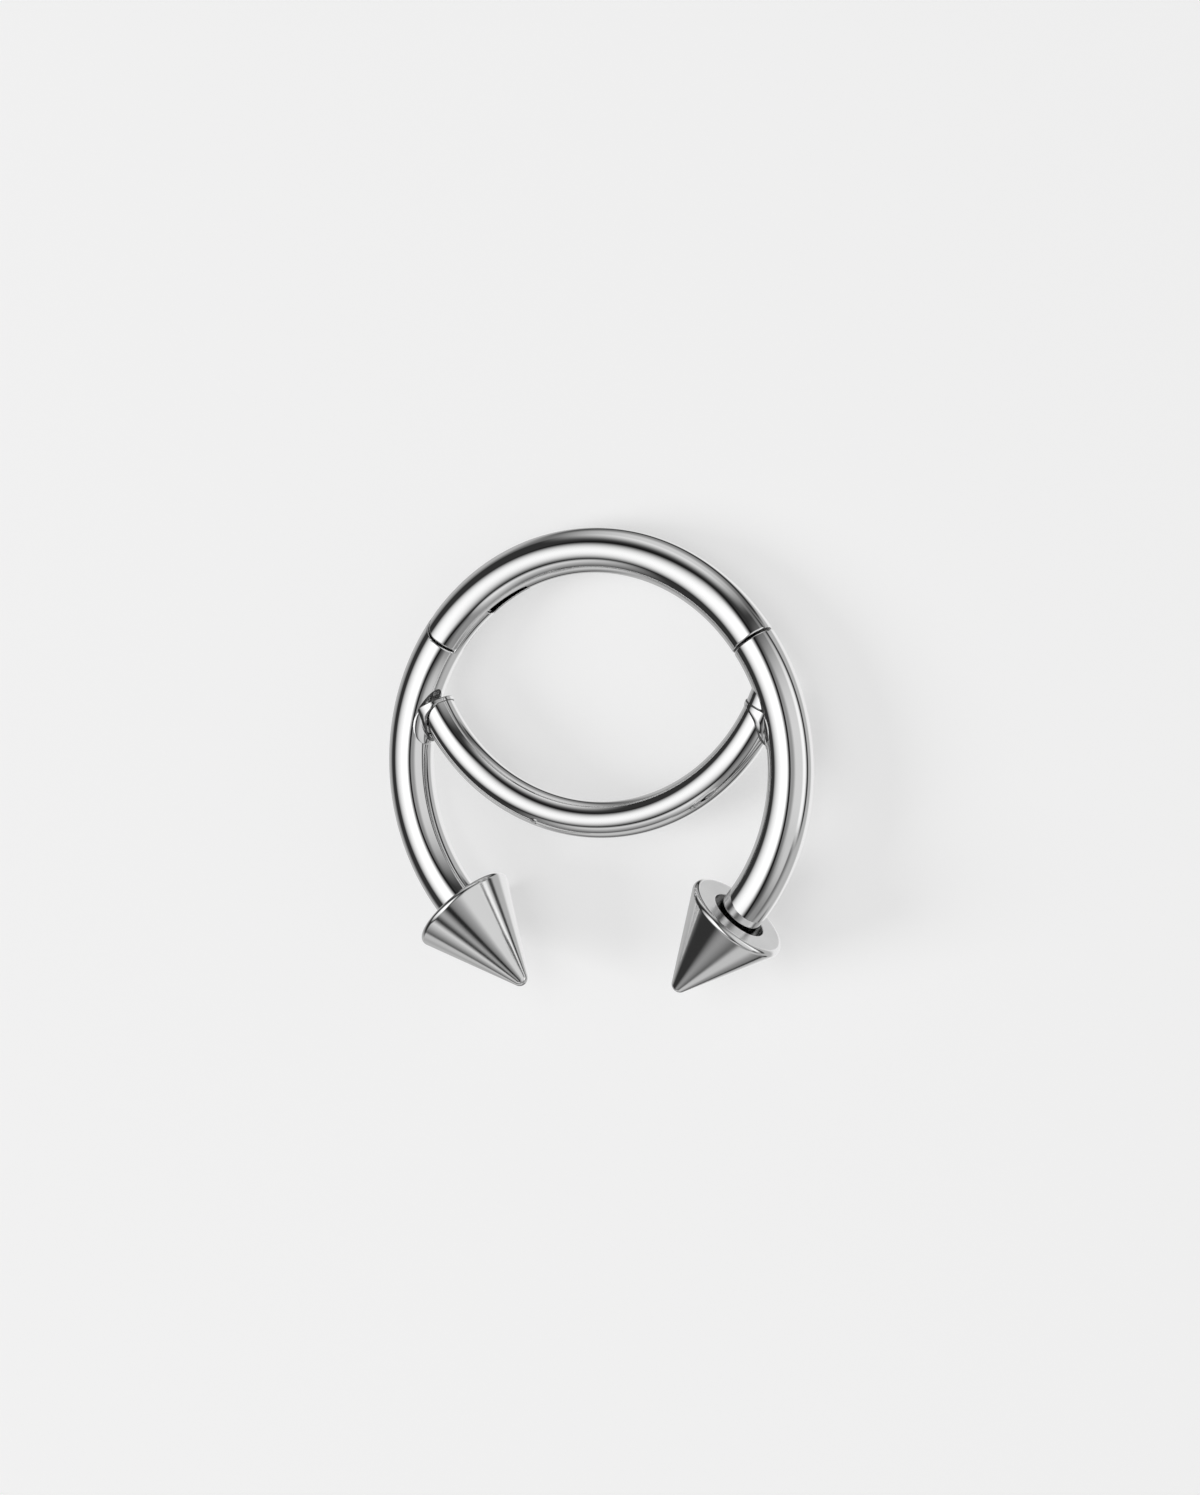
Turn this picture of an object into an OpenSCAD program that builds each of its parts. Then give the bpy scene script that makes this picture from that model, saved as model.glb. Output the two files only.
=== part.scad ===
// A horseshoe barbell for body jewellery. An open round wire carries a cone spike on each end.
// Its top arc is a hinged segment that swings out to open the ring, and an inverted arc of
// thinner wire is soldered between the two legs, so that they keep their place when it is open.
// The jewel lies on its back: it rests on the top of its wire and on the rims of both spikes.

/* [Horseshoe] */
// Inside diameter of the horseshoe
inside_d = 10.2; // [9:0.1:12]
// Diameter of the horseshoe's wire
wire_d = 1.2; // [1:0.05:1.4]
// Angle below the horizontal at which each leg ends
end_angle = 43; // [38:1:48]

/* [Cross bar] */
// Diameter of the cross bar's wire
bar_d = 0.97; // [0.8:0.01:1]
// Radius of the cross bar's bend, at the middle of its wire
bar_bend_r = 5.53; // [5.2:0.01:6]
// Height of the centre of that bend above the horseshoe's centre
bar_rise = 4.06; // [3.8:0.01:4.4]

/* [Spikes] */
// Largest diameter of a spike
spike_d = 2.85; // [2.5:0.05:3.2]
// Length of a spike from its flat base to its tip
spike_l = 2.8; // [2.4:0.05:3.4]
// Radius of a spike's rounded tip
tip_r = 0.23; // [0.15:0.01:0.3]
// Radius of the rounded rim of its base
rim_r = 0.12; // [0.06:0.01:0.18]
// Diameter of the recess in the base, around the wire
recess_d = 1.56; // [1.5:0.01:1.7]
// Depth of that recess
recess_depth = 0.3; // [0.2:0.05:0.4]
// Diameter of the stud on the wire's end, which the spike is screwed onto
stud_d = 0.9; // [0.7:0.05:0.95]
// Length of that stud
stud_l = 0.9; // [0.6:0.05:1]

/* [Hinged segment] */
// Angle above the horizontal of the seam at the hinge
hinge_seam_angle = 35.8; // [33:0.1:38]
// Angle above the horizontal of the seam at the catch
catch_seam_angle = 35.1; // [33:0.1:38]
// Distance from the hinge's seam to the pin, which is also the radius of the knuckle
knuckle_r = 0.6; // [0.55:0.01:0.65]
// Angle that the segment opens to
open_angle = 60; // [45:1:75]
// Diameter of the hinge pin
pin_d = 0.4; // [0.3:0.01:0.45]
// Length of the hinge pin
pin_l = 1; // [0.9:0.01:1.05]
// Thickness of the tongue, the leg's part of the hinge
tongue_t = 0.38; // [0.34:0.01:0.42]
// Distance from the pin to the tongue's end, along the inside of the ring
tongue_reach = 0.9; // [0.8:0.01:1]
// Distance from the pin to the end of the slot, along the inside of the ring
slot_reach = 2.2; // [1.9:0.05:2.4]
// Radius of the dome that clicks into the catch
dome_r = 0.4; // [0.36:0.01:0.42]
// Height of that dome above the segment's end
dome_h = 0.14; // [0.1:0.01:0.16]

/* [Clearances] */
// Gap between the segment and the legs at each seam
seam_gap = 0.04; // [0.03:0.005:0.06]
// Gap between the knuckle and the hollow that it turns in
knuckle_gap = 0.045; // [0.045:0.005:0.07]
// Gap between the leg's lip and the open segment
lip_gap = 0.02; // [0.01:0.005:0.03]
// Gap on each side of the tongue in its slot
tongue_gap = 0.03; // [0.02:0.005:0.05]
// Radial gap between the hinge pin and the tongue's bore
pin_gap = 0.03; // [0.02:0.005:0.05]
// Radial gap between the hinge pin and its blind holes in the segment
pin_seat_gap = 0.01; // [0.01:0.005:0.02]
// Gap around a stud in its spike
stud_gap = 0.02; // [0.01:0.005:0.04]

/* [Hidden] */
$fn = 96;

steel = [0.80, 0.80, 0.81];
polished_steel = [0.84, 0.84, 0.85];
pin_steel = [0.70, 0.70, 0.71];

// The ring is drawn flat, with its centre at the origin, its top towards +Y and its front up.
wire_r = wire_d / 2;
bar_r = bar_d / 2;
ring_r = inside_d / 2 + wire_r;
arc_steps = 8;
// A length that reaches well past the wire, for everything that is cut from it
past = 3 * wire_d;
// The tongue's round corner, a little outside the wire, and where the slot starts over it
tongue_r = wire_r + tongue_gap;
slot_top = tongue_r + 2 * tongue_gap;

// Angles around the ring's centre, counted from +X
seam_step = seam_gap / ring_r * 180 / PI;
left_end = 180 + end_angle;
right_end = -end_angle;
hinge_seam = 180 - hinge_seam_angle;
catch_seam = catch_seam_angle;
pin_angle = hinge_seam - asin(knuckle_r / ring_r);
tongue_end = pin_angle - 2 * asin(tongue_reach / ring_r);

// Where the middle of the bar's wire meets the middle of each leg
joint_y = (ring_r * ring_r - bar_bend_r * bar_bend_r + bar_rise * bar_rise) / (2 * bar_rise);
joint_x = sqrt(ring_r * ring_r - joint_y * joint_y);
bar_half_angle = atan2(joint_x, bar_rise - joint_y);

// The tilt at which the wire's top and both rims touch the surface below. Each term is
// a length along the ring: the lever between the two supports, and their two radii.
rim_ring_r = spike_d / 2 - rim_r;
lever = ring_r * (1 + sin(end_angle)) + rim_r * cos(end_angle);
lift = wire_r - rim_r;
tilt_a = lever * lever + pow(rim_ring_r * cos(end_angle), 2);
tilt_b = 2 * lever * lift;
tilt_c = lift * lift - rim_ring_r * rim_ring_r;
tilt = asin((-tilt_b + sqrt(tilt_b * tilt_b - 4 * tilt_a * tilt_c)) / (2 * tilt_a));

// How far the ring's centre lies above the surface, and in front of the middle of the jewel
centre_z = ring_r * sin(tilt) + wire_r;
top_y = ring_r * cos(tilt) + wire_r;
tip_y = -(ring_r * sin(end_angle) + (spike_l - tip_r) * cos(end_angle)) * cos(tilt) - tip_r;
centre_y = -(top_y + tip_y) / 2;

// Sets the flat ring down on the surface
module lie_down() {
    translate([0, centre_y, centre_z])
        rotate([-tilt, 0, 0])
            children();
}

// A round wire of radius r, bent to bend_r from angle a to angle b
module bent_wire(bend_r, r, a, b) {
    rotate([0, 0, a])
        rotate_extrude(angle = b - a)
            translate([bend_r, 0])
                circle(r);
}

// Moves to the hinge pin, with X along the wire towards the segment and Y away from the ring
module at_pin() {
    rotate([0, 0, pin_angle])
        translate([ring_r, 0, 0])
            rotate([0, 0, -90])
                children();
}

// Moves to the end of a leg, with Z along the spike's axis towards its tip
module at_wire_end(angle, turn) {
    rotate([0, 0, angle])
        translate([ring_r, 0, 0])
            rotate([turn * 90, 0, 0])
                children();
}

// The straight end of a leg, which stands in the spike's recess, and the stud beyond it
module wire_end() {
    cylinder(h = recess_depth - stud_gap, r = wire_r);
    translate([0, 0, -wire_r])
        cylinder(h = wire_r + recess_depth + stud_l, r = stud_d / 2);
}

// What the leg keeps beside its tongue, above the seam: a lip over the round knuckle.
// It ends where the open segment lies.
module knuckle_lip() {
    difference() {
        translate([-past, 0, -past])
            cube([past, wire_d, 2 * past]);
        cylinder(h = 3 * past, r = knuckle_r + knuckle_gap, center = true);
        rotate([0, 0, open_angle])
            translate([0, -past, -2 * past])
                cube([2 * past, past + wire_r + lip_gap, 4 * past]);
    }
}

// The room for the segment's cheeks, on both sides of the leg's tongue
module cheek_room() {
    difference() {
        rotate([0, 0, hinge_seam + seam_step])
            translate([ring_r - wire_d, -past, -wire_d])
                cube([2 * wire_d, past, 2 * wire_d]);
        at_pin()
            knuckle_lip();
        cube([4 * ring_r, 4 * ring_r, tongue_t], center = true);
    }
}

// What is cut from the tongue beyond the pin: its outer corner is round about the pin,
// and its inner half ends in a slope
module beyond_tongue() {
    difference() {
        translate([0, -past, -past])
            cube([past, 2 * past, 2 * past]);
        cylinder(h = 3 * past, r = tongue_r, center = true);
        translate([0, 0, -2 * past])
            linear_extrude(4 * past)
                polygon([
                    [0, 0],
                    [tongue_r, 0],
                    [tongue_reach, -wire_r],
                    [tongue_reach, -2 * past],
                    [0, -2 * past]
                ]);
    }
}

// The left leg, with its half of the hinge
module left_leg() {
    difference() {
        bent_wire(ring_r, wire_r, tongue_end, left_end);
        cheek_room();
        at_pin() {
            beyond_tongue();
            cylinder(h = wire_d, r = pin_d / 2 + pin_gap, center = true);
        }
    }
}

// Moves to the centre of the sphere that the catch's dome is part of
module at_dome() {
    rotate([0, 0, catch_seam + seam_step])
        translate([ring_r, dome_r - dome_h, 0])
            children();
}

// The right leg, with the hollow that takes the catch's dome
module right_leg() {
    difference() {
        bent_wire(ring_r, wire_r, right_end, catch_seam);
        at_dome()
            sphere(r = dome_r + seam_gap);
    }
}

module frame() {
    color(steel)
        lie_down() {
            left_leg();
            right_leg();
            translate([0, bar_rise, 0])
                bent_wire(bar_bend_r, bar_r, 270 - bar_half_angle, 270 + bar_half_angle);
            at_wire_end(left_end, -1)
                wire_end();
            at_wire_end(right_end, 1)
                wire_end();
        }
}

// The knuckle's end of the segment: everything beyond its round corner is cut off
module beyond_knuckle() {
    difference() {
        translate([-past, 0, -past])
            cube([past, past, 2 * past]);
        cylinder(h = 3 * past, r = knuckle_r, center = true);
    }
}

// The slot for the tongue, cut in from the inside of the ring, so that its end slopes
module tongue_slot() {
    slot_t = tongue_t + 2 * tongue_gap;
    translate([0, 0, -slot_t / 2])
        linear_extrude(slot_t)
            polygon([
                [-past, wire_d],
                [slot_top, wire_d],
                [slot_top, wire_r],
                [slot_reach, -wire_r],
                [slot_reach, -wire_d],
                [-past, -wire_d]
            ]);
}

module hinge_segment() {
    color(polished_steel)
        lie_down() {
            difference() {
                bent_wire(ring_r, wire_r, catch_seam + seam_step, hinge_seam);
                at_pin() {
                    beyond_knuckle();
                    tongue_slot();
                    cylinder(h = pin_l, r = pin_d / 2 + pin_seat_gap, center = true);
                }
            }
            at_dome()
                sphere(r = dome_r);
        }
}

module hinge_pin() {
    color(pin_steel)
        lie_down()
            at_pin()
                cylinder(h = pin_l - 2 * pin_seat_gap, r = pin_d / 2, center = true);
}

// Half of a spike's outline, from its flat base at the left to its tip on the axis
flank_angle = let (run = spike_l - tip_r - rim_r, drop = rim_ring_r)
    atan2(drop, run) + asin((rim_r - tip_r) / norm([run, drop]));
spike_outline = concat(
    [[0, 0]],
    [for (i = [0 : arc_steps])
        let (a = -90 + (90 + flank_angle) * i / arc_steps)
        [rim_ring_r + rim_r * cos(a), rim_r + rim_r * sin(a)]],
    [for (i = [0 : arc_steps])
        let (a = flank_angle + (90 - flank_angle) * i / arc_steps)
        [tip_r * cos(a), spike_l - tip_r + tip_r * sin(a)]]
);

module spike() {
    difference() {
        rotate_extrude()
            polygon(spike_outline);
        translate([0, 0, -recess_depth])
            cylinder(h = 2 * recess_depth, r = recess_d / 2);
        cylinder(h = recess_depth + stud_l + stud_gap, r = stud_d / 2 + stud_gap);
    }
}

module left_spike() {
    color(polished_steel)
        lie_down()
            at_wire_end(left_end, -1)
                spike();
}

module right_spike() {
    color(polished_steel)
        lie_down()
            at_wire_end(right_end, 1)
                spike();
}

frame();
hinge_segment();
hinge_pin();
left_spike();
right_spike();
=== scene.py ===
import math

import bpy
import numpy as np
from mathutils import Matrix, Vector


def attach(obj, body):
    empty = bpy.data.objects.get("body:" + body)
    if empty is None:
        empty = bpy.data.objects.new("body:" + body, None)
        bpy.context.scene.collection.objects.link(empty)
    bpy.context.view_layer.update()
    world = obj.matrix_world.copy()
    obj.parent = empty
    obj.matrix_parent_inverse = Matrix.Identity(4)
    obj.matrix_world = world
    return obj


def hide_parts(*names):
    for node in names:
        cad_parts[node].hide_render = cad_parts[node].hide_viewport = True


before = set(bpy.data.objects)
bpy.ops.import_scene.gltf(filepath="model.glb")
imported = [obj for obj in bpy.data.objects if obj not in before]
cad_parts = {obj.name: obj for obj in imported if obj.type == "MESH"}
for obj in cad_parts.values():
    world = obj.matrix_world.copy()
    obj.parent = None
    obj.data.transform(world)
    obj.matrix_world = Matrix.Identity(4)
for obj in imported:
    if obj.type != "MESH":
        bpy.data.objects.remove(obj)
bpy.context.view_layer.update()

MM = 0.001

# The horseshoe's driving dimensions, in millimetres and degrees. The ring is worked out flat: its
# centre at the origin, its top towards +Y and its front towards +Z. Angles go round from +X.
INSIDE_D = 10.2
WIRE_D = 1.2
END_ANGLE = 43
BAR_D = 0.97
BAR_BEND_R = 5.53
BAR_RISE = 4.06

# The solder at the bar's ends: a cuff, set off to the lower side of the bar, with a chamfer and a
# groove where the bar comes out, and a pad on the leg below. A cuff's angles go round the bar's
# bend from its lowest point. The bar is cut straight with its left cuff, and runs on into the right
# leg. A pad's angles go round the ring and, from the front, round the leg.
SOLDER_R = 0.03
CUFF_FROM = 60.7
CUFF_TO = 63.4
CUFF_REACH = 0.66
CUFF_R = 0.565
CUFF_SHIFT = 0.055
CUFF_EDGE_R = 0.02
CUFF_FILLET_R = 0.1
CUFF_ROOT = 0.4
CUFF_CHAMFER = 0.035
CUFF_SLOPE = 20
GROOVE_W = 0.035
GROOVE_DEPTH = 0.12
PAD_ANGLE = 168.5
PAD_HALF_ANGLE = 6.3
PAD_TURN = 75
PAD_HALF_TURN = 48
PAD_H = 0.05

SPIKE_D = 2.85
SPIKE_L = 2.8
TIP_R = 0.23
RIM_R = 0.12
RECESS_D = 1.56
RECESS_DEPTH = 0.3
STUD_D = 0.9
STUD_L = 0.9

HINGE_SEAM_ANGLE = 35.8
CATCH_SEAM_ANGLE = 35.1
KNUCKLE_R = 0.6
OPEN_ANGLE = 60
PIN_D = 0.4
PIN_L = 1.0
TONGUE_T = 0.38
TONGUE_REACH = 0.9
SLOT_REACH = 2.2
DOME_R = 0.4
DOME_H = 0.14

# The seams are a little wider here than in the solids, so that they show as dark lines.
SEAM_GAP = 0.055
KNUCKLE_GAP = 0.045
LIP_GAP = 0.02
TONGUE_GAP = 0.03
PIN_GAP = 0.03
PIN_SEAT_GAP = 0.01
STUD_GAP = 0.02

# Rounding of the edges at the seams, and of the small edges inside the hinge and round the studs
SEAM_EDGE_R = 0.04
FINE_EDGE_R = 0.02

WIRE_R = WIRE_D / 2
BAR_R = BAR_D / 2
RING_R = INSIDE_D / 2 + WIRE_R
TONGUE_R = WIRE_R + TONGUE_GAP
SLOT_TOP = TONGUE_R + 2 * TONGUE_GAP
SEAM_STEP = math.degrees(SEAM_GAP / RING_R)
LEFT_END = 180 + END_ANGLE
RIGHT_END = -END_ANGLE
HINGE_SEAM = 180 - HINGE_SEAM_ANGLE
CATCH_SEAM = CATCH_SEAM_ANGLE
PIN_ANGLE = HINGE_SEAM - math.degrees(math.asin(KNUCKLE_R / RING_R))
JOINT_Y = (RING_R**2 - BAR_BEND_R**2 + BAR_RISE**2) / (2 * BAR_RISE)
JOINT_X = math.sqrt(RING_R**2 - JOINT_Y**2)
BAR_LOWEST = 270
BAR_LEFT_CUT = BAR_LOWEST - CUFF_TO
BAR_RIGHT_END = BAR_LOWEST + math.degrees(math.atan2(JOINT_X, BAR_RISE - JOINT_Y))


def resting_place():
    """The tilt at which the wire's top and both rims touch the floor, and where the centre is."""
    rim_ring_r = SPIKE_D / 2 - RIM_R
    end = math.radians(END_ANGLE)
    lever = RING_R * (1 + math.sin(end)) + RIM_R * math.cos(end)
    lift = WIRE_R - RIM_R
    a = lever**2 + (rim_ring_r * math.cos(end))**2
    b = 2 * lever * lift
    c = lift**2 - rim_ring_r**2
    tilt = math.asin((-b + math.sqrt(b * b - 4 * a * c)) / (2 * a))
    top_y = RING_R * math.cos(tilt) + WIRE_R
    tip_reach = RING_R * math.sin(end) + (SPIKE_L - TIP_R) * math.cos(end)
    tip_y = -tip_reach * math.cos(tilt) - TIP_R
    centre = (0, -(top_y + tip_y) / 2, RING_R * math.sin(tilt) + WIRE_R)
    return tilt, centre


TILT, CENTRE = resting_place()
TURN = np.array(Matrix.Rotation(-TILT, 3, "X"))


def to_row(points):
    """Flat ring coordinates in millimetres to the part's own frame in metres."""
    return (points @ TURN.T + np.array(CENTRE)) * MM


def along(angle):
    """Unit vectors outwards and along the ring, at an angle round it."""
    a = math.radians(angle)
    return np.array([math.cos(a), math.sin(a), 0.0]), np.array([-math.sin(a), math.cos(a), 0.0])


# Distance fields. Each takes an array of points and gives the distance to a surface, negative
# inside it.

def rounded_max(a, b, r):
    """What is inside both, with the edge between them rounded."""
    corner = np.hypot(np.maximum(a + r, 0), np.maximum(b + r, 0))
    return np.minimum(np.maximum(a, b), -r) + corner


def rounded_min(a, b, r):
    """What is inside either, with a fillet between them."""
    corner = np.hypot(np.maximum(r - a, 0), np.maximum(r - b, 0))
    return np.maximum(np.minimum(a, b), r) - corner


def past_plane(p, angle):
    """Distance past a plane that cuts straight across the ring at an angle, counter-clockwise."""
    return p @ along(angle)[1]


def bent_wire(p, bend_r, r, centre_y=0.0):
    return np.hypot(np.hypot(p[:, 0], p[:, 1] - centre_y) - bend_r, p[:, 2]) - r


def end_frame(p, angle, turn):
    """Distance along the axis of a leg's end towards the tip, and distance from that axis."""
    out, forward = along(angle)
    rel = p - RING_R * out
    axial = rel @ (turn * forward)
    radial = np.hypot(rel @ out, rel[:, 2])
    return axial, radial


def leg_wire(p, angle, turn):
    """The bent wire, which runs on straight past the end of the leg, with the stud on it."""
    axial, radial = end_frame(p, angle, turn)
    wire = np.where(axial > 0, radial - WIRE_R, bent_wire(p, RING_R, WIRE_R))
    wire = rounded_max(wire, axial - (RECESS_DEPTH - STUD_GAP), FINE_EDGE_R)
    stud = rounded_max(radial - STUD_D / 2, axial - (RECESS_DEPTH + STUD_L), FINE_EDGE_R)
    return np.minimum(wire, np.maximum(stud, -axial - WIRE_R))


def at_pin(p):
    """Coordinates at the hinge pin: along the wire to the segment, and away from the ring."""
    out, forward = along(PIN_ANGLE)
    rel = p - RING_R * out
    return rel @ -forward, rel @ out


def left_leg(p):
    x, y = at_pin(p)
    reach = np.hypot(x, y)
    opened = math.radians(OPEN_ANGLE)
    opened_x = x * math.cos(opened) + y * math.sin(opened)
    opened_y = y * math.cos(opened) - x * math.sin(opened)
    under_open_segment = np.maximum(-opened_x, opened_y - WIRE_R - LIP_GAP)
    lip = np.maximum(np.maximum(x, -y), KNUCKLE_R + KNUCKLE_GAP - reach)
    lip = np.maximum(lip, -under_open_segment)
    beside_tongue = np.minimum(-past_plane(p, HINGE_SEAM + SEAM_STEP), lip)
    tongue = np.abs(p[:, 2]) - TONGUE_T / 2
    slope = np.array([WIRE_R, TONGUE_REACH - TONGUE_R])
    slope = slope / np.linalg.norm(slope)
    below_slope = (x - TONGUE_R) * slope[0] + y * slope[1]
    inner_half = np.maximum(np.maximum(y, below_slope), x - TONGUE_REACH)
    tongue_end = np.minimum(np.minimum(x, reach - TONGUE_R), inner_half)
    tongue = rounded_max(tongue, tongue_end, FINE_EDGE_R)
    bore = np.maximum(reach - PIN_D / 2 - PIN_GAP, np.abs(p[:, 2]) - WIRE_R)
    leg = rounded_max(leg_wire(p, LEFT_END, 1), np.minimum(beside_tongue, tongue), SEAM_EDGE_R)
    return np.maximum(leg, -bore)


def dome(p, r):
    """The catch's dome on the segment's end, or with a larger radius its hollow."""
    out, forward = along(CATCH_SEAM + SEAM_STEP)
    centre = RING_R * out + (DOME_R - DOME_H) * forward
    return np.linalg.norm(p - centre, axis=1) - r


def right_leg(p):
    leg = rounded_max(leg_wire(p, RIGHT_END, -1), past_plane(p, CATCH_SEAM), SEAM_EDGE_R)
    return rounded_max(leg, -dome(p, DOME_R + SEAM_GAP), FINE_EDGE_R)


def segment(p):
    x, y = at_pin(p)
    reach = np.hypot(x, y)
    wire = bent_wire(p, RING_R, WIRE_R)
    ends = np.maximum(-past_plane(p, CATCH_SEAM + SEAM_STEP), past_plane(p, HINGE_SEAM))
    knuckle = np.minimum(np.minimum(reach - KNUCKLE_R, -x), y)
    slope = np.array([2 * WIRE_R, SLOT_REACH - SLOT_TOP])
    slope = slope / np.linalg.norm(slope)
    slot_end = (x - SLOT_TOP) * slope[0] + (y - WIRE_R) * slope[1]
    slot_end = np.maximum(slot_end, x - SLOT_REACH)
    slot = np.maximum(np.abs(p[:, 2]) - TONGUE_T / 2 - TONGUE_GAP, slot_end)
    pin_hole = np.maximum(reach - PIN_D / 2 - PIN_SEAT_GAP, np.abs(p[:, 2]) - PIN_L / 2)
    body = rounded_max(wire, np.maximum(ends, knuckle), SEAM_EDGE_R)
    body = rounded_max(body, -slot, FINE_EDGE_R)
    body = np.maximum(body, -pin_hole)
    return np.minimum(body, dome(p, DOME_R))


def cross_bar(p):
    bar = bent_wire(p, BAR_BEND_R, BAR_R, BAR_RISE)
    rel = p - np.array([0, BAR_RISE, 0])
    past_ends = np.maximum(-past_plane(rel, BAR_LEFT_CUT), past_plane(rel, BAR_RIGHT_END))
    return rounded_max(bar, past_ends, SOLDER_R)


def cuff(p):
    """The cuff at the bar's left end. The right one is its mirror image."""
    off_bend = np.hypot(p[:, 0], p[:, 1] - BAR_RISE) - BAR_BEND_R
    swing = BAR_BEND_R * np.arctan2(-p[:, 0], BAR_RISE - p[:, 1])
    off_leg = RING_R - np.hypot(p[:, 0], p[:, 1])
    from_leg = np.hypot(off_leg, p[:, 2])
    before = BAR_BEND_R * math.radians(CUFF_FROM) - swing
    start = rounded_min(before, off_leg - CUFF_REACH, CUFF_FILLET_R)
    cut = swing - BAR_BEND_R * math.radians(CUFF_TO)
    body = np.hypot(off_bend - CUFF_SHIFT, p[:, 2]) - CUFF_R
    slope = math.radians(CUFF_SLOPE)
    chamfer = start * math.sin(slope) + body * math.cos(slope) + CUFF_CHAMFER
    body = rounded_max(body, np.maximum(start, chamfer), CUFF_EDGE_R)
    groove = np.maximum(np.hypot(off_bend, p[:, 2]) - BAR_R - GROOVE_W, -GROOVE_DEPTH - start)
    body = rounded_max(body, -groove, FINE_EDGE_R)
    return rounded_max(body, np.maximum(cut, CUFF_ROOT - from_leg), SOLDER_R)


def pad(p):
    """The solder on the left leg, below the cuff. The right one is its mirror image."""
    inwards = RING_R - np.hypot(p[:, 0], p[:, 1])
    turn = np.degrees(np.arctan2(inwards, p[:, 2]))
    angle = np.degrees(np.arctan2(p[:, 1], p[:, 0]))
    across = (turn - PAD_TURN) / PAD_HALF_TURN
    lengthways = (angle - PAD_ANGLE) / PAD_HALF_ANGLE
    raised = (np.hypot(inwards, p[:, 2]) - WIRE_R) / PAD_H
    return PAD_H * (np.sqrt(across**2 + lengthways**2 + raised**2) - 1)


# Meshes from the fields. A grid follows a wire's bend: its three ticks are places out from the
# wire's middle in millimetres, round the bend in degrees, and up in millimetres. A bend is its
# radius and the height of its centre in the flat ring.

RING_BEND = (RING_R, 0)
BAR_BEND = (BAR_BEND_R, BAR_RISE)

# How far off the field is probed for its slope, the least slope that is counted on, how often the
# points are moved onto the surface at the start and end and after each relaxing, how often they are
# relaxed, and by what share
PROBE = 1e-4
LEAST_SLOPE = 0.5
SETTLE_ROUNDS = 3
SETTLE_AFTER_RELAX = 2
RELAX_ROUNDS = 2
RELAX_SHARE = 0.5
NEAR_ZERO = 1e-12


def gradient(field, p):
    parts = []
    for axis in np.eye(3) * PROBE:
        parts.append((field(p + axis) - field(p - axis)) / (2 * PROBE))
    return np.stack(parts, axis=1)


def settle(field, p, rounds, reach):
    """Moves points onto the surface."""
    for _ in range(rounds):
        g = gradient(field, p)
        size = np.maximum((g * g).sum(axis=1), LEAST_SLOPE**2)
        move = g * (field(p) / size)[:, None]
        length = np.linalg.norm(move, axis=1)
        p = p - move * np.minimum(1, reach / np.maximum(length, NEAR_ZERO))[:, None]
    return p


def relax(p, quads):
    """Evens the points out along the surface."""
    total = np.zeros_like(p)
    count = np.zeros(len(p))
    for i in range(4):
        a = quads[:, i]
        b = quads[:, (i + 1) % 4]
        for one, other in ((a, b), (b, a)):
            for k in range(3):
                total[:, k] += np.bincount(one, p[other, k], len(p))
            count += np.bincount(one, minlength=len(p))
    return p + RELAX_SHARE * (total / np.maximum(count, 1)[:, None] - p)


def round_bend(places, bend):
    """Points at a distance out from a bent wire's middle, an angle round its bend and a height."""
    r = bend[0] + places[:, 0]
    a = np.radians(places[:, 1])
    return np.stack([r * np.cos(a), bend[1] + r * np.sin(a), places[:, 2]], axis=1)


def sample(field, ticks, bend):
    """The field's values on a grid."""
    values = np.empty([len(one) for one in ticks])
    angle, z = np.meshgrid(ticks[1], ticks[2], indexing="ij")
    sheet = np.stack([angle * 0, angle, z], axis=-1).reshape(-1, 3)
    for i, out in enumerate(ticks[0]):
        sheet[:, 0] = out
        values[i] = field(round_bend(sheet, bend)).reshape(angle.shape)
    return values


def cut_cells(inside):
    """The cells of a grid that the surface runs through."""
    counts = inside.shape
    corners = np.stack([
        inside[a:counts[0] - 1 + a, b:counts[1] - 1 + b, c:counts[2] - 1 + c]
        for a in (0, 1) for b in (0, 1) for c in (0, 1)
    ]).sum(axis=0)
    return np.argwhere((corners > 0) & (corners < 8))


def cell_middles(values, cells):
    """The middle of the places where the surface cuts each cell's edges, in grid steps."""
    total = np.zeros((len(cells), 3))
    hits = np.zeros(len(cells))
    for axis in range(3):
        others = [k for k in range(3) if k != axis]
        for b in (0, 1):
            for c in (0, 1):
                start = cells.copy()
                start[:, others[0]] += b
                start[:, others[1]] += c
                end = start.copy()
                end[:, axis] += 1
                v0 = values[tuple(start.T)]
                v1 = values[tuple(end.T)]
                crossed = (v0 < 0) != (v1 < 0)
                place = start.astype(float)
                place[crossed, axis] += (v0 / (v0 - v1 + (v0 == v1)))[crossed]
                total[crossed] += place[crossed]
                hits += crossed
    return total / hits[:, None]


def cell_quads(inside, cells):
    """For each grid edge that the surface cuts, a quad between the four cells round that edge."""
    number = np.full(np.array(inside.shape) - 1, -1)
    number[tuple(cells.T)] = np.arange(len(cells))
    quads = []
    for axis in range(3):
        b = (axis + 1) % 3
        c = (axis + 2) % 3
        first = np.take(inside, np.arange(inside.shape[axis] - 1), axis)
        second = np.take(inside, np.arange(1, inside.shape[axis]), axis)
        edges = np.argwhere(first != second)
        rises = first[tuple(edges.T)]
        around = []
        for db, dc in ((-1, -1), (0, -1), (0, 0), (-1, 0)):
            cell = edges.copy()
            cell[:, b] += db
            cell[:, c] += dc
            around.append(number[tuple(cell.T)])
        around = np.stack(around, axis=1)
        around[~rises] = around[~rises][:, ::-1]
        quads.append(around)
    return np.concatenate(quads)


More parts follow.
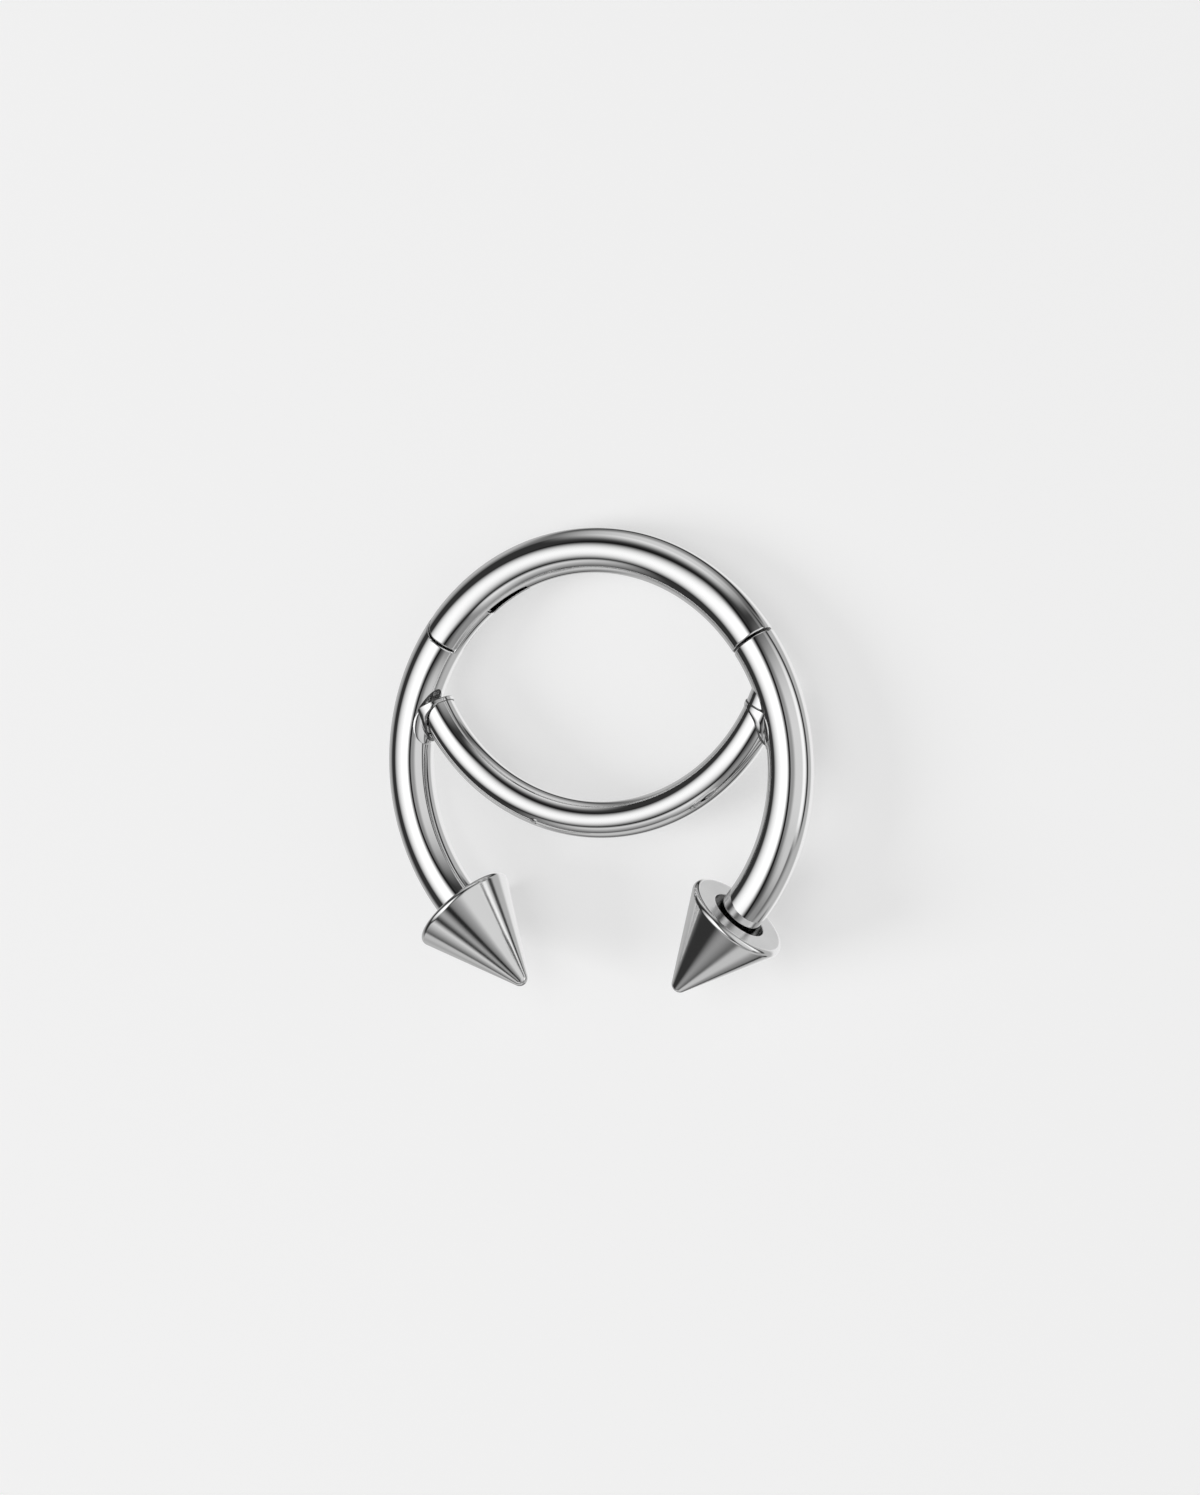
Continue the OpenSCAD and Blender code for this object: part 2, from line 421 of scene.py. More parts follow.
def surface_of(field, ticks, bend):
    """A closed mesh of quads on the zero surface of a field, with its normals."""
    values = sample(field, ticks, bend)
    cells = cut_cells(values < 0)
    middle = cell_middles(values, cells)
    places = [np.interp(middle[:, k], np.arange(len(ticks[k])), ticks[k]) for k in range(3)]
    points = round_bend(np.stack(places, axis=1), bend)
    quads = cell_quads(values < 0, cells)
    reach = ticks[2][1] - ticks[2][0]
    points = settle(field, points, SETTLE_ROUNDS, reach)
    for _ in range(RELAX_ROUNDS):
        points = settle(field, relax(points, quads), SETTLE_AFTER_RELAX, reach)
    points = settle(field, points, SETTLE_ROUNDS, reach)
    normals = gradient(field, points)
    normals /= np.maximum(np.linalg.norm(normals, axis=1), NEAR_ZERO)[:, None]
    return points, quads, normals


def new_piece(name, mesh, body, node):
    piece = bpy.data.objects.new(name, mesh)
    bpy.context.scene.collection.objects.link(piece)
    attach(piece, body)
    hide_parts(node)
    return piece


# A face of a wire gets the second material, a dark steel that paints the shade in the seams and
# grooves, where its normal's share along the wire is more than this: only the faces of cuts, and on
# a cuff those of its chamfer and groove too.
CUT_FACE = 0.85
CUFF_CUT_FACE = 0.25


def field_piece(name, field, ticks, bend, body, node, materials, mirrored=False, limit=CUT_FACE):
    points, quads, normals = surface_of(field, ticks, bend)
    tangents = np.stack([bend[1] - points[:, 1], points[:, 0]], axis=1)
    tangents /= np.linalg.norm(tangents, axis=1)[:, None]
    lengthways = np.abs((normals[:, :2] * tangents).sum(axis=1))[quads].mean(axis=1)
    if mirrored:
        points[:, 0] *= -1
        normals[:, 0] *= -1
        quads = quads[:, ::-1]
    mesh = bpy.data.meshes.new(name)
    mesh.from_pydata(to_row(points).tolist(), [], quads.tolist())
    mesh.polygons.foreach_set("use_smooth", [True] * len(mesh.polygons))
    mesh.normals_split_custom_set_from_vertices((normals @ TURN.T).tolist())
    mesh.polygons.foreach_set("material_index", (lengthways > limit).astype(int).tolist())
    for material in materials:
        mesh.materials.append(material)
    return new_piece(name, mesh, body, node)


# The wires' grids: their step across the wire, their coarse and fine steps round the bend, how fast
# a step may grow away from a fine zone, and how far each goes out from the wire's middle. The
# straight stud leaves the ring's bend outwards.
WIRE_STEP = 0.036
COARSE_TURN = 1.0
FINE_TURN = 0.22
STEP_GROWTH = 0.2
WIRE_REACH = 0.72
STUD_REACH = 0.84
BAR_REACH = 0.6

# The fine zones, in degrees from each seam, from a stud's end and from the bar's left cut, and what
# a grid adds past its outermost zone
LEG_AT_HINGE = (-17, 8)
LEG_AT_CATCH = (-5, 1)
SEGMENT_AT_HINGE = (-30, 7)
SEGMENT_AT_CATCH = (-2, 2)
PAST_STUD = 1
BAR_AT_CUT = (-1, 1)
GRID_MARGIN = 1

# The solder's grids: their steps and limits. A cuff's are round the bar's bend, a pad's round the
# ring's.
CUFF_STEP = 0.014
CUFF_TURN_STEP = 0.14
CUFF_OUT = (-0.58, 0.75)
CUFF_ROUND = (203, 218)
CUFF_UP = (-0.62, 0.62)
PAD_STEP = 0.016
PAD_TURN_STEP = 0.16
PAD_OUT = (-0.7, 0.1)
PAD_ROUND = (161, 176)
PAD_UP = (-0.5, 0.7)


def spaced(start, end, coarse, fine=None, zones=()):
    """Places from start to end, coarse apart, and closer to each other in the zones."""
    places = [start]
    while places[-1] < end:
        step = coarse
        for low, high in zones:
            off = max(low - places[-1], places[-1] - high, 0)
            step = min(step, fine + STEP_GROWTH * off)
        places.append(places[-1] + step)
    return np.array(places)


def zone(angle, limits):
    return angle + limits[0], angle + limits[1]


def wire_ticks(reach, start, end, zones, outwards=None):
    across = spaced(-reach, reach, WIRE_STEP)
    out = across if outwards is None else spaced(-reach, outwards, WIRE_STEP)
    return out, spaced(start, end, COARSE_TURN, FINE_TURN, zones), across


def add_legs(materials):
    stud_turn = math.degrees((RECESS_DEPTH + STUD_L) / RING_R)
    hinge = zone(HINGE_SEAM, LEG_AT_HINGE)
    stud = zone(LEFT_END, (0, stud_turn + PAST_STUD))
    ticks = wire_ticks(WIRE_REACH, hinge[0] - GRID_MARGIN, stud[1] + GRID_MARGIN, [hinge, stud],
                       STUD_REACH)
    field_piece("left_leg", left_leg, ticks, RING_BEND, "horseshoe", "frame", materials)
    stud = zone(RIGHT_END, (-stud_turn - PAST_STUD, 0))
    catch = zone(CATCH_SEAM, LEG_AT_CATCH)
    ticks = wire_ticks(WIRE_REACH, stud[0] - GRID_MARGIN, catch[1] + GRID_MARGIN, [catch, stud],
                       STUD_REACH)
    field_piece("right_leg", right_leg, ticks, RING_BEND, "horseshoe", "frame", materials)


def add_segment(materials):
    catch = zone(CATCH_SEAM, SEGMENT_AT_CATCH)
    hinge = zone(HINGE_SEAM, SEGMENT_AT_HINGE)
    ticks = wire_ticks(WIRE_REACH, catch[0] - GRID_MARGIN, hinge[1] + GRID_MARGIN, [catch, hinge])
    field_piece("segment_steel", segment, ticks, RING_BEND, "segment", "hinge_segment", materials)


def add_cross_bar(material):
    cut = zone(BAR_LEFT_CUT, BAR_AT_CUT)
    end = (BAR_RIGHT_END, BAR_RIGHT_END)
    ticks = wire_ticks(BAR_REACH, cut[0], end[1] + GRID_MARGIN, [cut, end])
    field_piece("cross_bar", cross_bar, ticks, BAR_BEND, "horseshoe", "frame", [material] * 2)


def add_solder(side, mirrored, materials):
    ticks = (spaced(*CUFF_OUT, CUFF_STEP), spaced(*CUFF_ROUND, CUFF_TURN_STEP),
             spaced(*CUFF_UP, CUFF_STEP))
    field_piece(side + "_cuff", cuff, ticks, BAR_BEND, "horseshoe", "frame", materials,
                mirrored, CUFF_CUT_FACE)
    ticks = (spaced(*PAD_OUT, PAD_STEP), spaced(*PAD_ROUND, PAD_TURN_STEP),
             spaced(*PAD_UP, PAD_STEP))
    field_piece(side + "_pad", pad, ticks, RING_BEND, "horseshoe", "frame", materials[:1] * 2,
                mirrored)


# Turned pieces. A profile is a list of stretches, each with its points and their normals in the
# half-plane of radius and height, and the number of its material. A closed end stops at AXIS_R, a
# hair off the axis.

AXIS_R = 1e-6
SPIKE_SIDES = 192
PIN_SIDES = 64
RIM_ROWS = 12
TIP_ROWS = 16
FLANK_ROWS = 8
LEAD_ROWS = 6
PIN_EDGE_ROWS = 4
# The third material, on the recess and the stud hole, is a greyer steel of painted shade.
FLANK, BASE, HOLE = range(3)


def straight(start, end, material=0, rows=1):
    start = np.array(start, float)
    end = np.array(end, float)
    t = np.linspace(0, 1, rows + 1)[:, None]
    direction = (end - start) / np.linalg.norm(end - start)
    normal = np.array([direction[1], -direction[0]])
    return start + t * (end - start), np.repeat(normal[None], rows + 1, axis=0), material


def arc(centre, r, start, end, rows, material=0):
    a = np.radians(np.linspace(start, end, rows + 1))
    normals = np.stack([np.cos(a), np.sin(a)], axis=1)
    return np.array(centre) + r * normals, normals, material


def turned_mesh(name, profile, sides, place, materials):
    """A mesh turned about an axis. place maps its own points and normals to the row's frame."""
    verts = []
    faces = []
    corner_normals = []
    kinds = []
    turn = np.linspace(0, 2 * math.pi, sides, endpoint=False)
    for points, normals, material in profile:
        first = len(verts)
        for r, h in points:
            for a in turn:
                verts.append((r * math.cos(a), r * math.sin(a), h))
        spun = np.array([[(nr * math.cos(a), nr * math.sin(a), nh) for a in turn]
                         for nr, nh in normals])
        for row in range(len(points) - 1):
            for i in range(sides):
                j = (i + 1) % sides
                low = first + row * sides
                high = low + sides
                faces.append((low + i, low + j, high + j, high + i))
                corner_normals += [spun[row, i], spun[row, j], spun[row + 1, j], spun[row + 1, i]]
                kinds.append(material)
    verts, corner_normals = place(np.array(verts), np.array(corner_normals))
    mesh = bpy.data.meshes.new(name)
    mesh.from_pydata(verts.tolist(), [], faces)
    mesh.polygons.foreach_set("use_smooth", [True] * len(faces))
    mesh.polygons.foreach_set("material_index", kinds)
    mesh.normals_split_custom_set(corner_normals.tolist())
    for material in materials:
        mesh.materials.append(material)
    return mesh


def spike_profile():
    rim_ring_r = SPIKE_D / 2 - RIM_R
    run = SPIKE_L - TIP_R - RIM_R
    flank = math.degrees(math.atan2(rim_ring_r, run)
                         + math.asin((RIM_R - TIP_R) / math.hypot(run, rim_ring_r)))
    recess_r = RECESS_D / 2
    hole_r = STUD_D / 2 + STUD_GAP
    hole_end = RECESS_DEPTH + STUD_L + STUD_GAP
    lead = FINE_EDGE_R
    rim = arc((rim_ring_r, RIM_R), RIM_R, -90, flank, RIM_ROWS, FLANK)
    tip = arc((0, SPIKE_L - TIP_R), TIP_R, flank, 90, TIP_ROWS, FLANK)
    tip[0][-1, 0] = AXIS_R
    return [
        straight((AXIS_R, hole_end), (hole_r, hole_end), HOLE),
        straight((hole_r, hole_end), (hole_r, RECESS_DEPTH), HOLE),
        straight((hole_r, RECESS_DEPTH), (recess_r, RECESS_DEPTH), HOLE),
        straight((recess_r, RECESS_DEPTH), (recess_r, lead), HOLE),
        arc((recess_r + lead, lead), lead, 180, 270, LEAD_ROWS, BASE),
        straight((recess_r + lead, 0), (rim_ring_r, 0), BASE),
        rim,
        straight(rim[0][-1], tip[0][0], FLANK, FLANK_ROWS),
        tip,
    ]


def add_spike(name, angle, turn, materials):
    out, forward = along(angle)
    axis = turn * forward
    basis = np.stack([out, np.cross(axis, out), axis])

    def place(points, normals):
        return to_row(points @ basis + RING_R * out), normals @ basis @ TURN.T

    mesh = turned_mesh(name, spike_profile(), SPIKE_SIDES, place, materials)
    return new_piece(name + "_cone", mesh, "horseshoe", name)


def add_hinge_pin(material):
    out, _ = along(PIN_ANGLE)
    half = PIN_L / 2 - PIN_SEAT_GAP
    r = PIN_D / 2
    edge = FINE_EDGE_R
    profile = [
        straight((AXIS_R, -half), (r - edge, -half)),
        arc((r - edge, -half + edge), edge, -90, 0, PIN_EDGE_ROWS),
        straight((r, -half + edge), (r, half - edge)),
        arc((r - edge, half - edge), edge, 0, 90, PIN_EDGE_ROWS),
        straight((r - edge, half), (AXIS_R, half)),
    ]

    def place(points, normals):
        return to_row(points + RING_R * out), normals @ TURN.T

    mesh = turned_mesh("hinge_pin", profile, PIN_SIDES, place, [material])
    return new_piece("hinge_pin_steel", mesh, "segment", "hinge_pin")


# Materials. A steel has a colour, a roughness, how much rougher it is where it is dull, and how
# strong its polishing marks are.

POLISHED = dict(colour=(0.86, 0.86, 0.86), roughness=0.03, haze=0.03, grain=0.3)
SPIKE_FLANK = dict(colour=(0.84, 0.84, 0.84), roughness=0.10, haze=0.04, grain=0.3)
SATIN = dict(colour=(0.80, 0.80, 0.80), roughness=0.28, haze=0.06, grain=1.0)
# Painted shade: a dark steel on the seams' cut faces and on the cuffs' chamfers and grooves
SEAM_SHADE = dict(colour=(0.22, 0.22, 0.22), roughness=0.30, haze=0.06, grain=1.0)
# Painted shade: a greyer steel on the walls and floor of each spike's recess and stud hole
RECESS_SHADE = dict(colour=(0.5, 0.5, 0.5), roughness=0.12, haze=0.06, grain=1.0)
PIN = dict(colour=(0.62, 0.62, 0.63), roughness=0.25, haze=0.08, grain=1.0)

# The noise behind a steel's tone, gloss and marks: how many of its waves go to a millimetre, and
# its detail. The marks are longer one way than the other.
CLOUD_NOISE = (0.35, 3)
GLOSS_NOISE = (1.3, 5)
MARKS_NOISE = (9, 4)
MARKS_STRETCH = (1, 3, 1)
MARKS_HEIGHT = 0.0004
TONE_CHANGE = 0.03
GLOSS_FROM = 0.35
GLOSS_TO = 0.75

FLOOR_HALF = 3000
FLOOR_NOISE = 0.02
FLOOR_TONES = (0.49, 0.51)
FLOOR_ROUGHNESS = 0.9


def new_material(name):
    """A material with its nodes, its links and its main shader."""
    material = bpy.data.materials.new(name)
    material.use_nodes = True
    tree = material.node_tree
    return material, tree.nodes, tree.links, tree.nodes["Principled BSDF"]


def two_tones(nodes, links, share, first, second):
    tone = nodes.new("ShaderNodeMix")
    tone.data_type = "RGBA"
    tone.inputs["A"].default_value = (*first, 1)
    tone.inputs["B"].default_value = (*second, 1)
    links.new(share, tone.inputs["Factor"])
    return tone.outputs["Result"]


def steel(name, colour, roughness, haze, grain):
    """Polished steel: its colour and gloss vary a little, and fine polishing marks cross it."""
    material, nodes, links, shader = new_material(name)
    shader.inputs["Metallic"].default_value = 1
    where = nodes.new("ShaderNodeTexCoord").outputs["Object"]

    def noise(scale, detail, stretch=(1, 1, 1)):
        mapping = nodes.new("ShaderNodeMapping")
        mapping.inputs["Scale"].default_value = stretch
        links.new(where, mapping.inputs["Vector"])
        texture = nodes.new("ShaderNodeTexNoise")
        texture.inputs["Scale"].default_value = scale / MM
        texture.inputs["Detail"].default_value = detail
        links.new(mapping.outputs["Vector"], texture.inputs["Vector"])
        return texture.outputs["Fac"]

    darker = [c * (1 - TONE_CHANGE) for c in colour]
    lighter = [min(1, c * (1 + TONE_CHANGE)) for c in colour]
    tone = two_tones(nodes, links, noise(*CLOUD_NOISE), darker, lighter)
    links.new(tone, shader.inputs["Base Color"])

    gloss = nodes.new("ShaderNodeMapRange")
    gloss.inputs["From Min"].default_value = GLOSS_FROM
    gloss.inputs["From Max"].default_value = GLOSS_TO
    gloss.inputs["To Min"].default_value = roughness
    gloss.inputs["To Max"].default_value = roughness + haze
    links.new(noise(*GLOSS_NOISE), gloss.inputs["Value"])
    links.new(gloss.outputs["Result"], shader.inputs["Roughness"])

    marks = nodes.new("ShaderNodeBump")
    marks.inputs["Strength"].default_value = grain
    marks.inputs["Distance"].default_value = MARKS_HEIGHT * MM
    links.new(noise(*MARKS_NOISE, MARKS_STRETCH), marks.inputs["Height"])
    links.new(marks.outputs["Normal"], shader.inputs["Normal"])
    return material


def floor_material():
    material, nodes, links, shader = new_material("pale_floor")
    shader.inputs["Roughness"].default_value = FLOOR_ROUGHNESS
    shader.inputs["Specular IOR Level"].default_value = 0
    texture = nodes.new("ShaderNodeTexNoise")
    texture.inputs["Scale"].default_value = FLOOR_NOISE / MM
    links.new(nodes.new("ShaderNodeTexCoord").outputs["Object"], texture.inputs["Vector"])
    darker, lighter = [(grey, grey, grey) for grey in FLOOR_TONES]
    tone = two_tones(nodes, links, texture.outputs["Fac"], darker, lighter)
    links.new(tone, shader.inputs["Base Color"])
    shader.inputs["Emission Color"].default_value = (1, 1, 1, 1)
    shader.inputs["Emission Strength"].default_value = FLOOR_GLOW
    return material


def add_floor():
    half = FLOOR_HALF * MM
    mesh = bpy.data.meshes.new("floor")
    mesh.from_pydata([(-half, -half, 0), (half, -half, 0), (half, half, 0), (-half, half, 0)],
                     [], [(0, 1, 2, 3)])
    mesh.materials.append(floor_material())
    floor = bpy.data.objects.new("floor", mesh)
    bpy.context.scene.collection.objects.link(floor)
    floor.visible_glossy = False


# Camera: its direction from the ring's centre in degrees, its distance in millimetres, how many of
# the photo's pixels go to a millimetre there, where it aims past the centre, and what it can see

CAMERA_RIGHT = 27.817
CAMERA_UP = 2.874
CAMERA_ROLL = -0.579
CAMERA_DISTANCE = 132.3
PHOTO_WIDTH = 1200
PIXELS_PER_MM = 37.6
AIM_RIGHT = 0.076
AIM_UP = 0.4565
SENSOR = 36
CLIP_START = 1
CLIP_END = 100000


def add_camera():
    right = math.radians(CAMERA_RIGHT)
    up = math.radians(CAMERA_UP)
    roll = math.radians(CAMERA_ROLL)
    towards = np.array([math.sin(right) * math.cos(up), math.sin(up),
                        math.cos(right) * math.cos(up)])
    level = np.cross([0, 1, 0], towards)
    level /= np.linalg.norm(level)
    upright = np.cross(towards, level)
    image_x = level * math.cos(roll) + upright * math.sin(roll)
    image_y = -level * math.sin(roll) + upright * math.cos(roll)
    eye = towards * CAMERA_DISTANCE
    aim = image_x * AIM_RIGHT + image_y * AIM_UP
    back = eye - aim
    back /= np.linalg.norm(back)
    image_x = image_x - back * (image_x @ back)
    image_x /= np.linalg.norm(image_x)
    image_y = np.cross(back, image_x)
    turned = np.stack([image_x, image_y, back]) @ TURN.T
    data = bpy.data.cameras.new("camera")
    data.sensor_fit = "HORIZONTAL"
    data.sensor_width = SENSOR
    data.lens = SENSOR * PIXELS_PER_MM * CAMERA_DISTANCE / PHOTO_WIDTH
    data.clip_start = CLIP_START * MM
    data.clip_end = CLIP_END * MM
    camera = bpy.data.objects.new("camera", data)
    bpy.context.scene.collection.objects.link(camera)
    place = Matrix(turned.T.tolist()).to_4x4()
    place.translation = Vector(to_row(eye[None])[0])
    camera.matrix_world = place
    bpy.context.scene.camera = camera


# Light: a studio that surrounds the jewel and is tilted like it. Overhead hangs a soft box in a
# black surround, and beyond it are four walls with soft ends. A place overhead is where a line from
# the jewel meets a ceiling one unit high: its distance to the right, and towards the ring's top.
# The box narrows to a tip at its left.

BOX_TIP = -2.2
BOX_LENGTH = 2.2
BOX_HALF_WIDTH = 1.2
BOX_RIGHT = 0.20
BOX_RIGHT_SOFT = 0.19
BOX_GLOW = 1.45
SURROUND_RIGHT = 0.48
SURROUND_RIGHT_SOFT = 0.05
SURROUND_REACH = (1.1, 1.7)
SURROUND_GLOW = 0.008
BASE_GLOW = 0.035

# The walls: the direction of each from the jewel, half its width, how softly it ends, all in
# degrees, and its glow. The right wall goes on overhead with this share of its glow, and rises to
# its whole glow between two distances from overhead, as does the corner's. The top wall rises
# between two angles from overhead. The lower wall starts at an edge overhead, and fades from there.
RIGHT_WALL = dict(towards=0, half=34, soft=24, glow=0.70)
RIGHT_WALL_OVERHEAD = 0.42
RIGHT_WALL_RISE = (0.75, 1.35)
TOP_WALL = dict(towards=93, half=20, soft=19, glow=0.82)
TOP_WALL_RISE = (55, 90)
LOWER_WALL = dict(towards=253, half=24, soft=12, glow=1.15)
LOWER_WALL_EDGE = 0.98
LOWER_WALL_EDGE_SOFT = 0.03
LOWER_WALL_TOWARDS = 235
CORNER_WALL = dict(towards=298, half=24, soft=12, glow=0.26)
CORNER_WALL_RISE = (0.6, 2.5)

# Below the jewel the steel mirrors a white table, one unit down. It pales towards its middle, by
# how far down it is seen, and beyond its edges, each a dark line, the walls go on down, brighter
# further out. An edge's place is its distance to that side. It spans a side, its direction and half
# its width in degrees, and the wall beyond it may glow further.
TABLE_RIM_GLOW = 0.14
TABLE_GLOW = 0.50
TABLE_PALES = (0.0, 0.45)
TABLE_MIDDLE_GLOW = 0.92
TABLE_MIDDLE_PALES = (0.80, 0.92)
TABLE_LEFT = dict(towards=170, half=18, soft=14, glow=0.10)
TABLE_EDGES = (
    dict(towards=115, at=0.80, half=0.26, side=(95, 40), further=0.0),
    dict(towards=0, at=1.80, half=0.60, side=(15, 42), further=0.0),
    dict(towards=262, at=1.00, half=0.20, side=(262, 34), further=0.34),
)
TABLE_SIDE_SOFT = 8
TABLE_EDGE_GLOW = 0.03
TABLE_EDGE_SOFT = 0.3
WALL_BELOW_BASE = 0.12
WALL_BELOW_LEVELS = (0.45, 1.3)
WALL_BELOW_REACH = 2.2
TOP_WALL_BELOW = 0.5

# How softly the table and what is overhead meet at the horizon, the least height that a place is
# worked out for, and the least length that is divided by
HORIZON_SOFT = 0.08
LEAST_HEIGHT = 0.02
LEAST_LENGTH = 0.001

# The floor is a light table that glows by itself, and one lamp from the left lights it as well.
# The steel mirrors the studio above and below it, not that floor or that lamp. The lamp's glow is
# that of a white plane that faces it.
FLOOR_GLOW = 0.515
LAMP_FROM = (-0.85, -0.14, 0.42)
LAMP_DISTANCE = 600
LAMP_SIZE = 260
LAMP_GLOW = 0.50


class Studio:
    """The studio's glow, worked out in a world's nodes from the direction alone."""

    def __init__(self, tree):
        self.nodes = tree.nodes
        self.links = tree.links
        direction = self.nodes.new("ShaderNodeTexCoord").outputs["Generated"]
        turn = self.nodes.new("ShaderNodeVectorRotate")
        turn.rotation_type = "X_AXIS"
        turn.inputs["Angle"].default_value = TILT
        self.links.new(direction, turn.inputs["Vector"])
        split = self.nodes.new("ShaderNodeSeparateXYZ")
        self.links.new(turn.outputs["Vector"], split.inputs["Vector"])
        self.x, self.y, self.z = split.outputs
        squares = [self.product(one, one) for one in (self.x, self.y)]
        self.level = self.math("SQRT", self.total(*squares))
        height = self.math("MAXIMUM", self.z, LEAST_HEIGHT)
        self.right = self.math("DIVIDE", self.x, height)
        self.up = self.math("DIVIDE", self.y, height)
        self.reach = self.math("DIVIDE", self.level, height)

    def math(self, operation, *values):
        node = self.nodes.new("ShaderNodeMath")
        node.operation = operation
        for socket, value in zip(node.inputs, values):
            if isinstance(value, (int, float)):
                socket.default_value = value
            else:
                self.links.new(value, socket)
        return node.outputs[0]

    def total(self, result, *others):
        for one in others:
            result = self.math("ADD", result, one)
        return result

    def product(self, result, *others):
        for one in others:
            result = self.math("MULTIPLY", result, one)
        return result

    def ramp(self, value, start, end):
        """Rises smoothly from 0 at start to 1 at end."""
        node = self.nodes.new("ShaderNodeMapRange")
        node.interpolation_type = "SMOOTHSTEP"
        low, high = sorted((start, end))
        node.inputs["From Min"].default_value = low
        node.inputs["From Max"].default_value = high
        node.inputs["To Min"].default_value = 0 if start < end else 1
        node.inputs["To Max"].default_value = 1 if start < end else 0
        self.links.new(value, node.inputs["Value"])
        return node.outputs["Result"]

    def blend(self, share, first, second):
        """first where share is 0, second where it is 1."""
        rest = self.math("SUBTRACT", 1.0, share)
        return self.total(self.product(rest, first), self.product(share, second))

    def towards(self, angle, x, y):
        """How far a place lies towards an angle."""
        a = math.radians(angle)
        return self.total(self.product(x, math.cos(a)), self.product(y, math.sin(a)))

    def wall(self, towards, half, soft, glow=1.0):
        facing = self.math("DIVIDE", self.towards(towards, self.x, self.y),
                           self.math("MAXIMUM", self.level, LEAST_LENGTH))
        outer, inner = [math.cos(math.radians(a)) for a in (half + soft, half - soft)]
        return self.product(self.ramp(facing, outer, inner), glow)

    def lower_wall(self):
        reach = self.towards(LOWER_WALL_TOWARDS, self.right, self.up)
        fade = self.math("DIVIDE", LOWER_WALL_EDGE, self.math("MAXIMUM", reach, LOWER_WALL_EDGE))
        share = self.ramp(reach, LOWER_WALL_EDGE - LOWER_WALL_EDGE_SOFT,
                          LOWER_WALL_EDGE + LOWER_WALL_EDGE_SOFT)
        return self.product(self.wall(**LOWER_WALL), fade, share)

    def walls(self):
        """The walls and the black surround, from the horizon up."""
        beside_box = self.ramp(self.right, SURROUND_RIGHT - SURROUND_RIGHT_SOFT,
                               SURROUND_RIGHT + SURROUND_RIGHT_SOFT)
        right_rise = self.blend(self.ramp(self.reach, *RIGHT_WALL_RISE),
                                self.product(beside_box, RIGHT_WALL_OVERHEAD), 1.0)
        right_wall = self.product(self.wall(**RIGHT_WALL), right_rise)
        top_rise = self.ramp(self.z, *[math.cos(math.radians(a)) for a in TOP_WALL_RISE])
        top_wall = self.product(self.wall(**TOP_WALL), top_rise)
        corner_rise = self.ramp(self.reach, *CORNER_WALL_RISE)
        corner_wall = self.product(self.wall(**CORNER_WALL), corner_rise)
        walls = self.total(BASE_GLOW, right_wall, top_wall, self.lower_wall(), corner_wall)
        surround = self.product(self.math("SUBTRACT", 1.0, beside_box),
                                self.ramp(self.reach, *reversed(SURROUND_REACH)))
        return self.blend(surround, walls, SURROUND_GLOW)

    def soft_box(self):
        from_tip = self.math("DIVIDE", self.math("SUBTRACT", self.right, BOX_TIP), BOX_LENGTH)
        from_tip = self.math("MAXIMUM", from_tip, LEAST_LENGTH)
        across = self.math("DIVIDE", self.up, BOX_HALF_WIDTH)
        across = self.math("DIVIDE", self.product(across, across), from_tip)
        inside = self.math("MAXIMUM", self.math("SUBTRACT", 1.0, across), 0.0)
        end = self.ramp(self.right, BOX_RIGHT + BOX_RIGHT_SOFT, BOX_RIGHT - BOX_RIGHT_SOFT)
        return self.product(inside, inside, from_tip, end, BOX_GLOW)

    def table(self):
        """The table and the walls beyond its edges, from the horizon down."""
        depth = self.product(self.z, -1.0)
        below = self.math("MAXIMUM", depth, LEAST_HEIGHT)
        rim = self.total(self.wall(**TABLE_LEFT), TABLE_RIM_GLOW)
        glow = self.blend(self.ramp(depth, *TABLE_PALES), rim, TABLE_GLOW)
        glow = self.blend(self.ramp(depth, *TABLE_MIDDLE_PALES), glow, TABLE_MIDDLE_GLOW)
        top_wall = self.product(self.wall(**TOP_WALL), TOP_WALL_BELOW)
        walls = self.total(WALL_BELOW_BASE, self.wall(**RIGHT_WALL), top_wall)
        for edge in TABLE_EDGES:
            out = self.math("DIVIDE", self.towards(edge["towards"], self.x, self.y), below)
            out = self.math("SUBTRACT", out, edge["at"])
            side = self.wall(*edge["side"], TABLE_SIDE_SOFT)
            brighter = self.blend(self.ramp(out, 0.0, WALL_BELOW_REACH), *WALL_BELOW_LEVELS)
            beyond = self.product(self.total(walls, edge["further"]), brighter)
            soft = TABLE_EDGE_SOFT * edge["half"]
            glow = self.blend(self.product(self.ramp(out, -soft, soft), side), glow, beyond)
            near = self.ramp(self.math("ABSOLUTE", out), edge["half"], soft)
            glow = self.blend(self.product(near, side), glow, TABLE_EDGE_GLOW)
        return glow


def add_studio():
    world = bpy.data.worlds.new("studio")
    bpy.context.scene.world = world
    world.use_nodes = True
    studio = Studio(world.node_tree)
    overhead = studio.math("MAXIMUM", studio.walls(), studio.soft_box())
    downwards = studio.ramp(studio.z, HORIZON_SOFT, -HORIZON_SOFT)
    glow = studio.blend(downwards, overhead, studio.table())
    background = world.node_tree.nodes["Background"]
    world.node_tree.links.new(glow, background.inputs["Strength"])
    background.inputs["Color"].default_value = (1, 1, 1, 1)


def add_lamp():
    data = bpy.data.lights.new("lamp", "AREA")
    data.shape = "DISK"
    data.size = LAMP_SIZE * MM
    data.energy = LAMP_GLOW * math.pi * math.pi * (LAMP_DISTANCE * MM) ** 2
    lamp = bpy.data.objects.new("lamp", data)
    bpy.context.scene.collection.objects.link(lamp)
    towards = Vector(LAMP_FROM).normalized()
    lamp.location = towards * LAMP_DISTANCE * MM
    lamp.rotation_euler = towards.to_track_quat("Z", "Y").to_euler()
    lamp.visible_glossy = False


